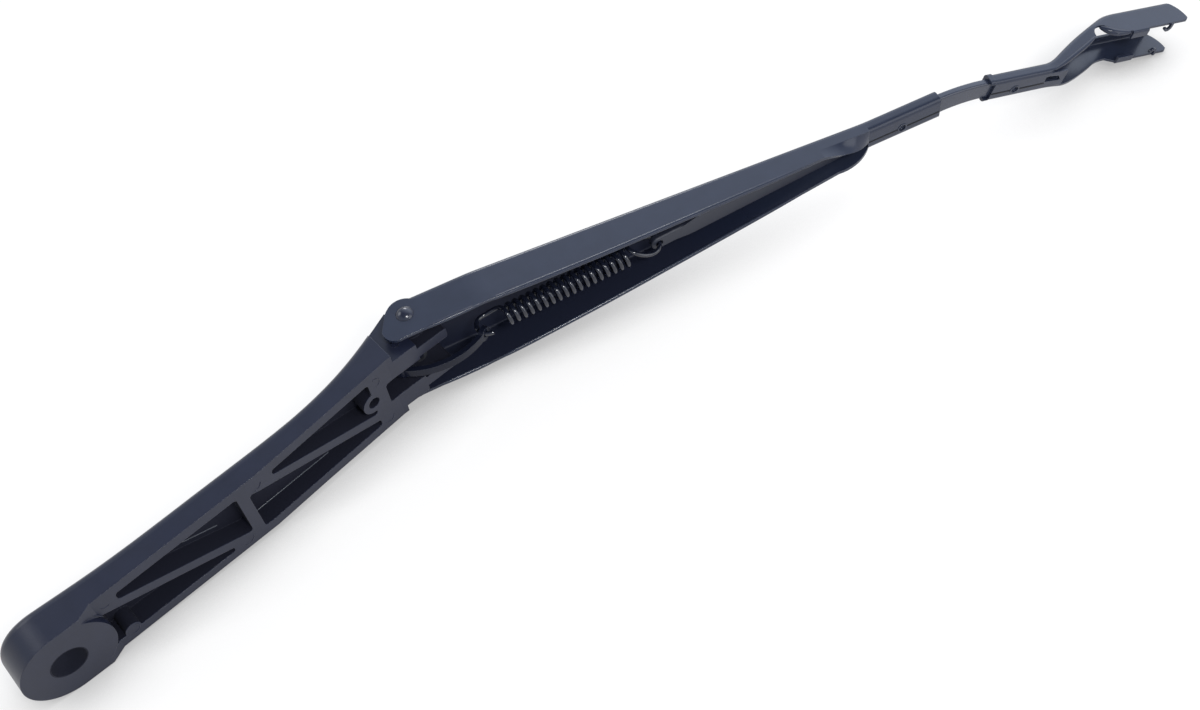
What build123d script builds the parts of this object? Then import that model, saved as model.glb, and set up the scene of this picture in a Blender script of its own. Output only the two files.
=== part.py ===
from build123d import *
import math
import os

os.makedirs("parts", exist_ok=True)

# Wiper arm in millimetres, lying on its side.
# Origin: axis of the spindle bore on the boss's underside face.
# +Y is the spindle axis and points to the arm's top side, the glass is at -Y.
# +X runs from the spindle towards the blade fork, +Z is up from the floor.
# Each piece is built in the plane of the arm and laid on the floor as it is saved.

# Head casting
boss_r = 16.0              # half width of the spindle boss
disc_r = 16.5              # seat disc round the bore
bore_r = 6.1               # spindle bore
nut_seat_r = 10.5          # recess for the spindle nut on the top side
nut_seat_y = 11.0
rail_y = 2.4               # underside of the rails above the boss face
neck_half = 16.2           # half width of the neck
flare_half = 16.9          # half width just before the ears
rail_w = 4.4
rib_t = 3.8
cross_rib_x = 71.6         # middle of the cross rib
cross_rib_t = 4.2
pocket_y = 10.4            # pocket floor in the neck, the skin is above it
boss_top = 15.9            # ridge of the top skin over the boss, the neck and the ears
neck_top = 14.8
ear_top = 31.2
top_round = 3.4            # rounding along the top's rim
crown_r = 56.0             # crown of the top skin across the head
peg_hole_r = 2.3           # blind hole in the small boss near the slot
peg_boss_r = 4.6
peg_at = (126.5, 1.6)      # x and z
pad_r = 2.9                # ejector pad in the first pocket
pad_at = (20.6, -11.2)

# Hinge, the ears and lugs of the head are placed from it
hinge_x = 152.0
hinge_y = 19.8
arm_angle = -15.195        # channel against the head, at rest on its stop
rivet_r = 2.0
rivet_head_r = 2.8
rivet_head_h = 1.6
bush_wall = 1.2
bush_flange_r = 5.6
bush_flange_t = 1.0
hinge_boss_r = 6.0
ear_half = 13.7
lug_in = 6.6               # inner and outer face of a hinge lug
lug_out = 11.2
slot_half = 5.2            # slot between the ears
lug_round = 0.9
ear_y = 9.6                # underside of ears and lugs
running_gap = 0.05         # radial, for a pin that turns
seat_gap = 0.02            # radial, for a pin that is held
free_gap = 0.4             # between neighbours that pass each other

# Channel, in the arm's axes: u along it, v towards the top side, z across
sheet_t = 1.3
channel_half = 18.0        # half width over the walls at the hinge
taper_u = 26.0             # the walls taper from here
taper_r = 80.0             # easing where the walls turn
crimp_u = 187.0            # to the start of the crimp
crimp_len = 31.8
web_rear_u = 5.2
lobe_r = 6.6               # round end of each wall about the hinge
edge_v = -9.0              # free edge of the walls at the hinge
edge_end_v = -3.2          # free edge where the walls run out before the crimp
lip_run = 22.0             # length over which the upper wall folds over to the seam
lip_drop = 0.2             # the folded lip stands proud of the crimp by this
bend_r = 2.0
seam_w = 0.4
seam_z = -1.2
dimple_r = 1.5
dimple_t = 0.6

# Flat bar
bar_w = 8.0
bar_t = 3.0
bar_round = 0.8
bar_v = 3.6                # middle of the bar in the crimp
bar_gap = 0.03
tail_u = 92.6              # inner end of the bar
tail_v = -2.2
tail_w = 6.0
tail_hole_in = 3.2         # from the inner end to the spring's hole
tail_hole_r = 1.5
bend_len = 22.0            # edgewise bend between crimp and fork
bend_yaw = 13.3
bend_twist = 6.1
bend_pitch = -2.4

# Blade fork, in axes from the middle of the bar at the end of its bend: p along, q up, h across
fork_t = 1.1
mouth_len = 2.2            # the seam side of the socket is cut back by this at its mouth
lip_t = 0.25               # rolled lip of the socket
seam_len = 27.0            # seam of the socket
bar_in_socket = 29.0
socket_len = 37.4          # seam side of the socket with its tongue
rise_p = 28.0              # the web rises from here
crest_p = 71.0             # to here
fork_half = 8.9
fork_web_q = 17.5
fork_edge_q = 6.1          # free edge of the fork's flanges
fork_end_p = 102.4         # the upper flange ends here
lower_short = 1.5          # the lower flange is shorter by this
fork_bend_r = 1.9
fork_ease_r = 40.0         # easing where the socket widens into the fork
tab_p = 73.2               # tab and hook on each free edge
tab_len = 8.2
tab_reach = 2.4
hook_from_end = 10.2       # middle of the hook, from the end of the upper flange
hook_out = 1.9
hook_in = 0.8

# Tension spring and link, in the arm's axes
wire_r = 0.85
coil_r = 3.4               # to the middle of the wire
coil_pitch = 2.806
coil_turns = 18
coil_u = 33.3              # start of the coil
coil_v = -4.86
coil_slope = 2.615
ring_r = 4.2               # hooks, to the middle of the wire
near_u = 26.3              # middle of the hook in the link
link_pin_r = 1.5
link_at = (-7.5, -6.72)    # axis of the link pin
link_w = 3.4
link_t = 1.9
link_eye_r = 3.5
link_paddle_r = 2.8
link_sag = 4.9             # the strip bows out by this

# The arm lies on its boss and its fork
lay_angle = 2.11

ON_BASE = (Align.CENTER, Align.CENTER, Align.MIN)
LAY = Rot(0, -lay_angle, 0)
ARM = Pos(hinge_x, hinge_y, 0) * Rot(0, 0, arm_angle)

hollow = bar_w / 2 + bar_gap
crimp_half = hollow + sheet_t
crimp_end_u = crimp_u + crimp_len
crimp_low = bar_v - bar_t / 2 - bar_gap - sheet_t
crimp_high = bar_v + bar_t / 2 + bar_gap + sheet_t
socket_half = hollow + fork_t
socket_high = bar_t / 2 + bar_gap + fork_t
socket_low = -socket_high
hook_p = fork_end_p - hook_from_end
tail_hole_u = tail_u + tail_hole_in
far_u = tail_hole_u + 0.14 - ring_r
bush_r = rivet_r + running_gap + bush_wall
wall_in = channel_half - sheet_t
flange_out = wall_in - free_gap
boss_out = flange_out - bush_flange_t
step_x = hinge_x - 14.0
ear_end_x = hinge_x - 4.0
lug_end_x = hinge_x + 8.5
slot_x = hinge_x - 19.3


def save(shape, name):
    """Lay the piece on the floor with the whole arm and write it."""
    export_step(LAY * shape, "parts/" + name + ".step")


def side_prism(outline, low, high):
    """Prism of an outline in the plane of the arm, from low to high across it."""
    return Pos(0, 0, low) * extrude(make_face(outline), high - low, dir=(0, 0, 1))


def plan_prism(outline, low, high, rounding=0.0):
    """Prism of an outline of x and z, from low to high along y."""
    face = make_face(outline)
    if rounding:
        face = fillet(face.vertices(), rounding)
    base = Plane(origin=(0, low, 0), x_dir=(1, 0, 0), z_dir=(0, -1, 0))
    return extrude(base * face, high - low, dir=(0, 1, 0))


def closed(*points):
    """Closed outline of straight runs."""
    return Polyline(*points, close=True)


def mirrored(*points):
    """Closed outline that is the same on both sides of the x axis, from its upper half."""
    return Polyline(*points, *[(x, -z) for x, z in reversed(points)], close=True)


def pin(radius, at, low, high):
    """Cylinder across the arm's plane."""
    return Pos(at[0], at[1], low) * Cylinder(radius, high - low, align=ON_BASE)


def post(radius, at, low, high):
    """Cylinder along y, at an x and z."""
    up = Plane(origin=(at[0], low, at[1]), x_dir=(1, 0, 0), z_dir=(0, 1, 0))
    return up * Cylinder(radius, high - low, align=ON_BASE)


def block(x, y, z):
    """Box given by its two ends along each axis."""
    return Pos(x[0], y[0], z[0]) * Box(x[1] - x[0], y[1] - y[0], z[1] - z[0], align=(Align.MIN,) * 3)


# Head casting

def crowned_block():
    """Solid below the crowned top skin, wider than the head."""
    half = boss_r + 6
    drop = crown_r - math.sqrt(crown_r**2 - half**2)
    ridge = (
        (-half, boss_top - 1.9),
        (0, boss_top),
        (0.17 * hinge_x, neck_top),
        (0.44 * hinge_x, neck_top + 0.7),
        (0.68 * hinge_x, neck_top + 2.3),
        (0.82 * hinge_x, neck_top + 6.3),
        (ear_end_x + 4, ear_top),
    )
    sections = []
    for x, top in ridge:
        arc = ThreePointArc((top - drop, -half), (top, 0), (top - drop, half))
        rest = Polyline((top - drop, half), (0, half), (0, -half), (top - drop, -half))
        across = Plane(origin=(x, 0, 0), x_dir=(0, 1, 0), z_dir=(1, 0, 0))
        sections.append(across * make_face([arc, rest]))
    return loft(sections)


def head_plan():
    """Outline of the casting without its lugs, as x and z."""
    end = ThreePointArc((0, boss_r), (-boss_r, 0), (0, -boss_r))
    edge = [
        (0, boss_r),
        (0.66 * hinge_x, neck_half),
        (step_x, flare_half),
        (step_x, ear_half),
        (ear_end_x, ear_half),
    ]
    return [end, Polyline(*edge, *[(x, -z) for x, z in reversed(edge)])]


def pockets():
    """The four pockets between rails, diagonal ribs and cross rib."""
    boss_in, neck_in, flare_in = (half - rail_w for half in (boss_r, neck_half, flare_half))
    near = disc_r - 4.5
    left = cross_rib_x - cross_rib_t / 2
    right = cross_rib_x + cross_rib_t / 2
    far = peg_at[0]
    one_end = left - 0.53 * boss_r
    two_start = disc_r + 0.4 * boss_r
    four_start = right + 0.64 * boss_r
    across_rib = rib_t * 1.07

    def rib_one(x):
        return 0.51 * boss_r - 0.376 * (x - near)

    def rib_two(x):
        return 0.55 * boss_r - 0.345 * (x - right)

    plans = (
        closed(
            (near, rib_one(near)), (one_end, rib_one(one_end)), (one_end, -neck_in - 0.6), (near, -boss_in),
        ),
        closed(
            (two_start, boss_in), (left, boss_in), (left, rib_one(left) + across_rib),
            (two_start, rib_one(two_start) + across_rib),
        ),
        closed((right, rib_two(right)), (far, rib_two(far)), (far, -flare_in), (right, -neck_in)),
        closed(
            (four_start, neck_in), (far, flare_in), (far, rib_two(far) + across_rib),
            (four_start, rib_two(four_start) + across_rib),
        ),
    )
    roundings = (0.9, 1.3, 1.2, 1.2)
    cuts = [plan_prism(plan, -1, 2 * boss_r, rounding) for plan, rounding in zip(plans, roundings)]
    cuts[0] = cuts[0] - post(disc_r, (0, 0), -2, 2 * boss_r + 1) - post(pad_r, pad_at, -2, 2 * boss_r + 1)
    cuts[3] = cuts[3] - post(peg_boss_r, peg_at, -2, 2 * boss_r + 1)
    floor = closed(
        (0, -1), (0, pocket_y), (left, pocket_y), (far - 22, pocket_y + 2.5), (far + 4, pocket_y + 6.8),
        (far + 4, -1),
    )
    depth = side_prism(floor, -boss_r, boss_r)
    return [cut & depth for cut in cuts]


def lug():
    """One hinge lug with its round boss, on the upper side."""
    outline = closed(
        (hinge_x - 7, ear_y),
        (lug_end_x, ear_y),
        (lug_end_x, hinge_y + 0.7),
        (hinge_x + 5.0, hinge_y + 3.7),
        (hinge_x + 2.6, hinge_y + 5.6),
        (hinge_x, hinge_y + 6.4),
        (hinge_x - 7, hinge_y + 6.9),
    )
    finger = side_prism(outline, lug_in, lug_out)
    ends = finger.edges().filter_by(Axis.Y).group_by(Axis.X)[-1]
    finger = fillet(ends, lug_round)
    return finger + pin(hinge_boss_r, (hinge_x, hinge_y), lug_in, boss_out)


def make_head():
    """Casting with boss, ribbed underside, slot, ears and lugs."""
    body = crowned_block() & plan_prism(head_plan(), 0, 40)
    upper = [e for e in body.edges() if e.center().Y > 11 and e.center().X < step_x - 1]
    body = fillet([e for e in upper if e.bounding_box().size.Y < 14], top_round)
    below = closed(
        (disc_r - 6.6, -1), (disc_r - 6.6, 0), (disc_r - 1.3, rail_y), (cross_rib_x + 6, rail_y + 1.7),
        (step_x - 2, ear_y), (hinge_x, ear_y), (hinge_x, -1),
    )
    seat = post(disc_r, (0, 0), 0, nut_seat_y) & plan_prism(head_plan(), 0, 40)
    body = body - side_prism(below, -30, 30) + seat
    for cut in pockets():
        body = body - cut
    upper = lug()
    body = body + upper + mirror(upper, Plane.XY)
    slot = mirrored((slot_x, slot_half), (lug_end_x + 5, slot_half))
    floor_half = plan_prism(slot, -1, hinge_y + 0.2)
    corners = floor_half.edges().filter_by(Axis.Y).group_by(Axis.X)[0]
    body = body - fillet(corners, 1.2)
    body = body - block((hinge_x - 7, lug_end_x + 5), (0, 60), (-slot_half, slot_half))
    body = body - post(bore_r, (0, 0), -1, 40) - post(nut_seat_r, (0, 0), nut_seat_y, 40)
    body = body - post(peg_hole_r, peg_at, 0, pocket_y + 3)
    body = body - pin(bush_r + seat_gap, (hinge_x, hinge_y), -30, 30)
    link_axis = (ARM * Pos(link_at[0], link_at[1], 0)).position
    body = body - pin(link_pin_r + seat_gap, (link_axis.X, link_axis.Y), -30, 30)
    return body


# Hinge pieces

def make_rivet():
    """Rivet through both walls, with a domed head at each end."""
    sphere_r = (rivet_head_r**2 + rivet_head_h**2) / (2 * rivet_head_h)
    dome = Pos(0, 0, channel_half + rivet_head_h - sphere_r) * Sphere(sphere_r)
    dome = dome & pin(rivet_head_r + 1, (0, 0), channel_half, channel_half + rivet_head_h + 1)
    shank = pin(rivet_r, (0, 0), -channel_half, channel_half)
    return Pos(hinge_x, hinge_y, 0) * (shank + dome + mirror(dome, Plane.XY))


def make_bush():
    """Flanged bush of the upper lug."""
    sleeve = pin(bush_r, (0, 0), lug_in, boss_out)
    flange = pin(bush_flange_r, (0, 0), boss_out, flange_out)
    hole = pin(rivet_r + running_gap, (0, 0), 0, 30)
    return Pos(hinge_x, hinge_y, 0) * (sleeve + flange - hole)


# Channel

def smooth_plan(points, radius):
    """Face of a mirrored outline whose inner corners are eased into each other."""
    face = make_face(mirrored(*points))
    inner = [v for v in face.vertices() if points[0][0] + 1 < v.X < points[-1][0] - 1]
    return fillet(inner, radius)


def trough(plan, low, top, rounding):
    """Prism over a face of x and z with its two long upper edges rounded."""
    base = Plane(origin=(0, low, 0), x_dir=(1, 0, 0), z_dir=(0, -1, 0))
    body = extrude(base * plan, top - low, dir=(0, 1, 0))
    ends = (body.bounding_box().min.X + 0.1, body.bounding_box().max.X - 0.1)
    upper = body.faces().sort_by(Axis.Y)[-1].edges()
    return fillet([e for e in upper if ends[0] < e.center().X < ends[1]], rounding)


def wall_outline(run_out):
    """Side outline of one wall from the hinge's lobe to the crimp, run_out ends its free edge."""
    turn_u = 0.4 * crimp_u
    turn = (turn_u, edge_v + 1.1)
    last = run_out[0]
    along = (last[0] - turn[0], last[1] - turn[1])
    halfway = (turn[0] + 0.5 * along[0], turn[1] + 0.5 * along[1] - 0.1)
    above = crimp_high + 1
    return [
        ThreePointArc((4, edge_v), (0.6 * turn_u, edge_v + 0.35), turn),
        ThreePointArc(turn, halfway, last),
        *run_out[1],
        Polyline((crimp_u, crimp_low), (crimp_end_u, crimp_low), (crimp_end_u, above)),
        Polyline((crimp_end_u, above), (1, above), (1, lobe_r)),
        ThreePointArc((1, lobe_r), (-4.5, 4.8), (-7.2, 1.2)),
        Line((-7.2, 1.2), (-9.8, -3.6)),
        ThreePointArc((-9.8, -3.6), (-9.0, -7.4), (-4, edge_v - 0.1)),
        Line((-4, edge_v - 0.1), (4, edge_v)),
    ]


def walls():
    """Prism of both walls' outlines: the lower one scoops up to the crimp, the upper stops at its lip."""
    scoop_start = (crimp_u - 15, edge_end_v)
    scoop = ThreePointArc(scoop_start, (crimp_u - 4.4, edge_end_v + 1.2), (crimp_u, crimp_low))
    lip_start = (crimp_u - lip_run, edge_end_v - 0.3)
    fold = (lip_start[0], crimp_low - lip_drop)
    lip_line = Polyline(lip_start, fold, (crimp_u, fold[1]), (crimp_u, crimp_low))
    lower = side_prism(wall_outline((scoop_start, [scoop])), -2 * channel_half, 0)
    upper = side_prism(wall_outline((lip_start, [lip_line])), 0, 2 * channel_half)
    return lower + upper


def folded_lip():
    """Lower edge of the upper wall, folding over by degrees until it meets the seam."""
    lip_start = crimp_low - lip_drop - edge_end_v + 0.3
    lip_end = crimp_half - seam_z - seam_w / 2
    sections = []
    for step in range(6):
        share = step / 5
        u = crimp_u - lip_run * (1 - share)
        half = crimp_half + (channel_half - crimp_half) * (crimp_u - u) / (crimp_u - taper_u)
        fold = math.radians(90 * share**1.3)
        length = lip_start + (lip_end - lip_start) * share
        inward = (0, -math.cos(fold), -math.sin(fold))
        across = Plane(origin=(u, crimp_low - lip_drop, half), x_dir=inward, z_dir=(1, 0, 0))
        sections.append(across * Rectangle(length, sheet_t, align=(Align.MIN, Align.MIN)))
    return loft(sections)


def make_channel():
    """Folded channel with tapering walls and a closed crimp round the bar."""
    points = ((-14, channel_half), (taper_u, channel_half), (crimp_u, crimp_half), (crimp_end_u, crimp_half))
    plan = smooth_plan(points, taper_r)
    outside = trough(plan, -20, crimp_high, bend_r)
    inside = trough(offset(plan, -sheet_t), -30, crimp_high - sheet_t, bend_r - sheet_t)
    inside = inside & block((-20, crimp_u), (-40, 20), (-30, 30))
    body = outside & walls()
    folds = [e for e in body.edges() if e.center().X > crimp_u + 5 and abs(e.center().Y - crimp_low) < 0.01]
    body = fillet([e for e in folds if abs(e.center().Z) > hollow], bend_r)
    bar_room = (crimp_low + sheet_t, crimp_high - sheet_t)
    body = body - inside + folded_lip() - block((crimp_u - 8, crimp_end_u + 1), bar_room, (-hollow, hollow))
    body = body - block((-20, web_rear_u), (-20, 20), (-wall_in, wall_in))
    lobe = pin(lobe_r, (0, 0), wall_in, channel_half)
    body = body + lobe + mirror(lobe, Plane.XY) - pin(rivet_r + seat_gap, (0, 0), -30, 30)
    seam = (seam_z - seam_w / 2, seam_z + seam_w / 2)
    body = body - block((crimp_u, crimp_end_u + 1), (crimp_low - 1, crimp_low + sheet_t), seam)
    body = body - post(dimple_r, (crimp_u + crimp_len / 2 - 1, seam_z), crimp_low - 1, crimp_low + dimple_t)
    return ARM * body


# Flat bar

def bend_frame(share):
    """Place in the middle of the bar on its edgewise bend, from 0 at the crimp to 1 at the fork."""
    yaw = bend_yaw * share
    radius = bend_len / math.radians(bend_yaw)
    along = radius * math.sin(math.radians(yaw))
    aside = -radius * (1 - math.cos(math.radians(yaw)))
    rise = bend_len * math.radians(bend_pitch) * share**2 / 2
    turn = Rot(0, yaw, 0) * Rot(0, 0, bend_pitch * share) * Rot(bend_twist * share, 0, 0)
    return Pos(crimp_end_u + along, bar_v + rise, aside) * turn


def bar_section():
    """Cross-section of the bar, square to its length."""
    across = Plane(origin=(0, 0, 0), x_dir=(0, 1, 0), z_dir=(1, 0, 0))
    return across * RectangleRounded(bar_t, bar_w, bar_round)


def make_bar():
    """Bar with a narrowed, pierced tail, an edgewise bend and a straight end in the fork."""
    low = bar_v - bar_t / 2
    high = bar_v + bar_t / 2
    side = closed(
        (crimp_end_u, low), (crimp_end_u, high), (crimp_u - 1, high), (tail_u, tail_v + bar_t / 2),
        (tail_u, tail_v - bar_t / 2), (crimp_u - 1, low),
    )
    tail_r = tail_w / 2
    wide = bar_w / 2
    edge = (
        (tail_u + tail_r, -tail_r), (tail_u + 14, -tail_r), (tail_u + 20, -wide), (crimp_end_u, -wide),
        (crimp_end_u, wide), (tail_u + 20, wide), (tail_u + 14, tail_r), (tail_u + tail_r, tail_r),
    )
    plan = [ThreePointArc(edge[-1], (tail_u, 0), edge[0]), Polyline(*edge)]
    straight = side_prism(side, -bar_w, bar_w) & plan_prism(plan, -4 * bar_w, 4 * bar_w)
    straight = fillet([e for e in straight.edges() if e.bounding_box().size.X > 10], bar_round)
    straight = straight - post(tail_hole_r, (tail_hole_u, 0), -20, 20)
    bend = loft([bend_frame(step / 4) * bar_section() for step in range(5)])
    end = bend_frame(1) * extrude(bar_section(), bar_in_socket, dir=(1, 0, 0))
    return ARM * (straight + bend + end)


# Blade fork

def fork_trough(plan, inset, rounding):
    """Solid under the fork's rising web, with its two long upper edges rounded."""
    low = socket_high - inset
    web = fork_web_q - inset
    climb = [(0.233, 0.206), (0.488, 0.549), (0.744, 0.839)]
    points = [(rise_p + (crest_p - rise_p) * along, low + (web - low) * up) for along, up in climb]
    rise = Spline((rise_p, low), *points, (crest_p, web), tangents=((1, 0), (1, 0)))
    far = fork_end_p + 10
    ends = Polyline((crest_p, web), (far, web), (far, -9), (-9, -9), (-9, low), (rise_p, low))
    base = Plane(origin=(0, -9, 0), x_dir=(1, 0, 0), z_dir=(0, -1, 0))
    body = side_prism([rise, ends], -20, 20) & extrude(base * plan, 40, dir=(0, 1, 0))
    upper = [e for e in body.edges() if e.center().Y > low - 0.1 and e.bounding_box().size.X > 1]
    return fillet(upper, rounding)


def flange_outline(neck, end):
    """Side outline of one flange: its neck's free edge, the fork's straight edge and the slanted end."""
    top = fork_web_q + 2
    start = neck[0] @ 0
    corner = (end - 1.2, fork_edge_q)
    tip = (end, fork_edge_q + 1.1)
    turn = (end - 5, fork_web_q)
    return [
        *neck,
        Polyline(neck[-1] @ 1, corner, tip),
        ThreePointArc(tip, (end - 1.1, fork_edge_q + 6.4), turn),
        Polyline(turn, (turn[0], top), (0, top), (0, socket_low), start),
    ]


def flanges():
    """Prism of both flanges' outlines, the upper one is low in the neck, with the socket's tongue between."""

    def at(along, up):
        """Point from the web's rise to the tab, and from the socket's underside to the free edge."""
        return (rise_p + (tab_p - rise_p) * along, socket_low + (fork_edge_q - socket_low) * up)

    notch_start = at(0.611, 1.172)
    notch_end = at(0.805, 1.24)
    rising = Spline(at(0, 0), at(0.232, 0.37), at(0.465, 0.805), notch_start)
    notch = ThreePointArc(notch_start, at(0.717, 1.676), notch_end)
    upper = flange_outline([rising, notch, Line(notch_end, at(0.827, 1))], fork_end_p)
    sweep_end = at(0.918, 1.24)
    lower_points = (at(0.122, 0), at(0.288, 0.129), at(0.531, 0.565), at(0.73, 1.023), sweep_end)
    sweeping = Spline(*lower_points, tangents=((1, 0.1), (1, 0)))
    lower = flange_outline([sweeping, Line(sweep_end, at(1, 1))], fork_end_p - lower_short)
    slit = hollow - 0.2
    middle = closed(
        (0, socket_low), (socket_len, socket_low), (socket_len, 0), (fork_end_p - 5, fork_web_q - 3),
        (fork_end_p - 5, fork_web_q + 2), (0, fork_web_q + 2),
    )
    return side_prism(upper, slit, 20) + side_prism(middle, -slit, slit) + side_prism(lower, -20, -slit)


def make_fork():
    """Socket crimped on the bar that rises and opens into a folded fork."""
    wide_p = rise_p + 0.7 * (crest_p - rise_p)
    points = ((0, socket_half), (rise_p + 3, socket_half), (wide_p, fork_half), (fork_end_p + 2, fork_half))
    plan = smooth_plan(points, fork_ease_r)
    outside = fork_trough(plan, 0, fork_bend_r)
    inside = fork_trough(offset(plan, -fork_t), fork_t, fork_bend_r - fork_t)
    inside = inside - block((-10, socket_len), (-20, socket_low + fork_t), (-20, 20))
    body = outside & block((0, fork_end_p + 1), (socket_low, 2 * fork_web_q), (-20, 20))
    folds = body.faces().sort_by(Axis.Y)[0].edges()
    body = fillet([e for e in folds if e.bounding_box().size.X > 1], 0.8 * fork_bend_r)
    body = body & flanges()
    lip_half = socket_half + lip_t
    lip = block((0, mouth_len), (socket_low, socket_high + lip_t), (-lip_half, lip_half))
    lip = fillet(lip.edges().filter_by(Axis.X), 0.8 * fork_bend_r)
    bar_room = (socket_low + fork_t, socket_high - fork_t)
    body = body + lip - inside - block((-1, bar_in_socket + 2), bar_room, (-hollow, hollow))
    body = body - block((-1, mouth_len), (socket_low - 1, 0), (-hollow, hollow))
    window = closed(
        (seam_len + 0.4, 2.4), (socket_len - 3.8, 1.6), (socket_len - 1.6, -1.2), (seam_len + 0.6, -0.6),
    )
    body = body - plan_prism(window, -9, socket_low + fork_t, 0.4)
    hole = (crest_p - 10, crest_p + 6)
    side = (-0.45 * fork_half, 0.675 * fork_half)
    opening = closed((hole[0], side[0]), (hole[1], side[0]), (hole[1], side[1]), (hole[0], side[1]))
    body = body - plan_prism(opening, fork_edge_q, 40, 1.2)
    seam = (seam_z - seam_w / 2, seam_z + seam_w / 2)
    body = body - block((mouth_len, seam_len + 1), (socket_low - 1, socket_low + fork_t), seam)
    body = body - post(dimple_r, (seam_len / 2, seam_z), socket_low - 1, socket_low + dimple_t)
    for side in (1, -1):
        body = body + fork_tab(side) + fork_hook(side)
    return body


def fork_tab(side):
    """Tab folded inwards below the free edge of one flange."""
    along = (tab_p, tab_p + tab_len)
    inner = side * (fork_half - fork_t)
    low = fork_edge_q - fork_t
    fold = block(along, (low, fork_edge_q), sorted((side * fork_half, inner - side * tab_reach)))
    leg = block(along, (low, fork_edge_q + 1), sorted((side * fork_half, inner)))
    tab = fold + leg
    outer = tab.edges().filter_by(Axis.X).sort_by(lambda e: e.center().Y - side * e.center().Z)[0]
    return fillet(outer, fork_t * 0.9)


def fork_hook(side):
    """Small hook folded inwards from the free edge of one flange."""
    root = fork_half - 0.2
    middle = root - hook_out
    outline = [
        Line((hook_p + hook_out, root), (hook_p + hook_out, middle)),
        ThreePointArc((hook_p + hook_out, middle), (hook_p, middle - hook_out), (hook_p - hook_out, middle)),
        Line((hook_p - hook_out, middle), (hook_p - hook_in, middle)),
        ThreePointArc((hook_p - hook_in, middle), (hook_p, middle - hook_in), (hook_p + hook_in, middle)),
        Polyline((hook_p + hook_in, middle), (hook_p + hook_in, root), (hook_p + hook_out, root)),
    ]
    hook = plan_prism(outline, fork_edge_q + 0.3 - fork_t, fork_edge_q + 0.3)
    return hook if side > 0 else mirror(hook, Plane.XY)


# Tension spring and link

def coil_axis(u):
    """Height of the spring's axis at u."""
    return coil_v + math.tan(math.radians(coil_slope)) * (u - coil_u)


def wire(path, frenet=False):
    """Round wire along a path."""
    section = Plane(origin=path @ 0, z_dir=path % 0) * Circle(wire_r)
    return sweep(section, path=path, is_frenet=frenet)


def make_spring():
    """Close coil with a round hook at each end, in the plane of the arm."""
    coil_len = coil_pitch * coil_turns
    turn = Plane(origin=(0, 0, 0), x_dir=(0, 0, 1), z_dir=(1, 0, 0)).location
    helix = turn * Helix(coil_pitch, coil_len, coil_r)
    near, far = ((u - coil_u) / math.cos(math.radians(coil_slope)) for u in (near_u, far_u))
    start = helix @ 0
    end = helix @ 1
    lead = coil_r
    near_top = Vector(near, ring_r, 0)
    far_low = Vector(far, -ring_r, 0)
    near_hook = Wire([
        Bezier(start, start - (helix % 0) * lead, near_top + Vector(lead, 0, 0), near_top),
        ThreePointArc(near_top, (near - ring_r, 0, 0), (near, -ring_r, 0)),
    ])
    far_hook = Wire([
        Bezier(end, end + (helix % 1) * lead, far_low - Vector(lead, 0, 0), far_low),
        ThreePointArc(far_low, (far + ring_r, 0, 0), (far, ring_r, 0)),
    ])
    body = wire(helix, True) + wire(near_hook) + wire(far_hook)
    return Pos(coil_u, coil_v, 0) * Rot(0, 0, coil_slope) * body


def make_link():
    """Bowed strip with an eye for the pin and a pierced paddle for the hook."""
    ring = Vector(near_u, coil_axis(near_u), 0)
    hole = ring + Vector(-ring_r, -ring_r, 0) * math.sqrt(0.5)
    start = Vector(link_at[0] - 0.4, link_at[1] - 2.4, 0)
    path = ThreePointArc(start, (start + hole) * 0.5 - Vector(0, link_sag, 0), hole)
    run = path % 1
    section = Plane(origin=path @ 0, x_dir=(0, 0, 1), z_dir=path % 0) * Rectangle(link_w, link_t)
    strip = sweep(section, path=path)
    paddle = Plane(origin=hole, x_dir=run, z_dir=Vector(-run.Y, run.X, 0))
    body = strip + pin(link_eye_r, link_at, -link_w / 2, link_w / 2)
    body = body + paddle * Cylinder(link_paddle_r, link_t)
    body = body - pin(link_pin_r + running_gap, link_at, -link_w, link_w)
    return body - paddle * Cylinder(wire_r + free_gap, 3 * link_t)


def make_link_pin():
    """Pin across the slot, held in both ears."""
    half = ear_half - 0.3
    return pin(link_pin_r, link_at, -half, half)


save(make_head(), "head")
save(make_rivet(), "hinge_rivet")
upper_bush = make_bush()
save(upper_bush, "bush_upper")
save(mirror(upper_bush, Plane.XY), "bush_lower")
save(ARM * make_link_pin(), "link_pin")
save(ARM * make_link(), "link")
save(ARM * make_spring(), "spring")
save(make_channel(), "channel")
save(make_bar(), "bar")
save(ARM * bend_frame(1) * make_fork(), "fork")
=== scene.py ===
"""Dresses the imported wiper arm: coats, marks of casting and folding, light, floor and camera."""

from __future__ import annotations

import logging
import math
from dataclasses import dataclass, field
from enum import Enum

import bpy
from mathutils import Matrix, Vector


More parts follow.
